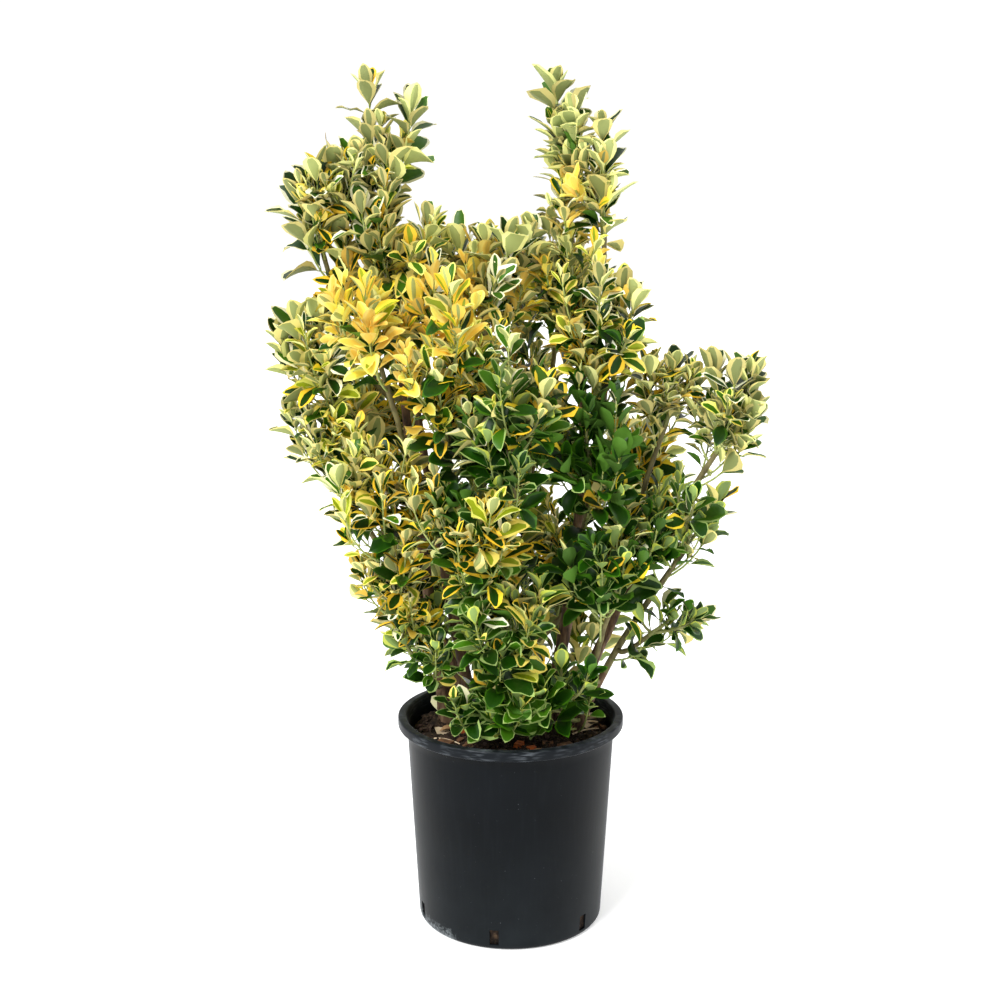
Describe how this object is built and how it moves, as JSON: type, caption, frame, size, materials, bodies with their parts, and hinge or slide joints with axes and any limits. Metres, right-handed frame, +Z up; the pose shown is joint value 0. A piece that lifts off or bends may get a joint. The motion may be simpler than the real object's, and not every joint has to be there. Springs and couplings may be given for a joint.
{
  "type": "potted japanese spindle",
  "caption": "Bushy evergreen shrub with cream and gold edged leaves on upright stems, growing in a black plastic nursery pot",
  "frame": {"origin": "centre of the pot's flat underside", "axes": "+Z up along the pot's axis, -Y towards the front that the picture shows, +X to its right"},
  "size_m": [0.6097, 0.4348, 1.1065],
  "materials": {
    "pot": "satin",
    "soil": "matte",
    "bark": "matte",
    "foliage": "satin"
  },
  "bodies": {
    "root": {"pot": "pot", "soil": "soil", "stem_left": "bark", "stem_left_inner": "bark", "stem_front": "bark", "stem_crest": "bark", "stem_right_tower": "bark", "stem_right": "bark", "stem_right_low": "bark", "stem_back": "bark", "stem_back_left": "bark", "bough_shoulder": "bark", "bough_left_outer": "bark", "bough_left_arm": "bark", "bough_left_low": "bark", "bough_gold_left": "bark", "bough_gold_front": "bark", "bough_centre_mid": "bark", "bough_right_outer": "bark", "bough_right_upper": "bark", "bough_right_shoulder": "bark", "bough_centre_right": "bark", "bough_right_mid": "bark", "bough_low_right": "bark", "bough_back_right": "bark", "bough_back_left_top": "bark", "bough_back_right_top": "bark", "left_tower": "foliage", "left_shoulder": "foliage", "left_upper": "foliage", "left_outer": "foliage", "left_arm": "foliage", "left_low": "foliage", "left_skirt": "foliage", "left_foot": "foliage", "gold_left": "foliage", "gold_front": "foliage", "gold_crest": "foliage", "centre_front": "foliage", "centre_middle": "foliage", "centre_low": "foliage", "foot_front": "foliage", "foot_right": "foliage", "right_tower": "foliage", "right_tower_outer": "foliage", "right_neck": "foliage", "right_upper": "foliage", "right_shoulder": "foliage", "centre_right": "foliage", "right_middle": "foliage", "far_right": "foliage", "right_low": "foliage", "low_right": "foliage", "back_left_top": "foliage", "back_right_top": "foliage", "back_left": "foliage", "back_middle": "foliage", "back_right": "foliage", "back_left_low": "foliage", "back_right_low": "foliage"}
  },
  "joints": []
}
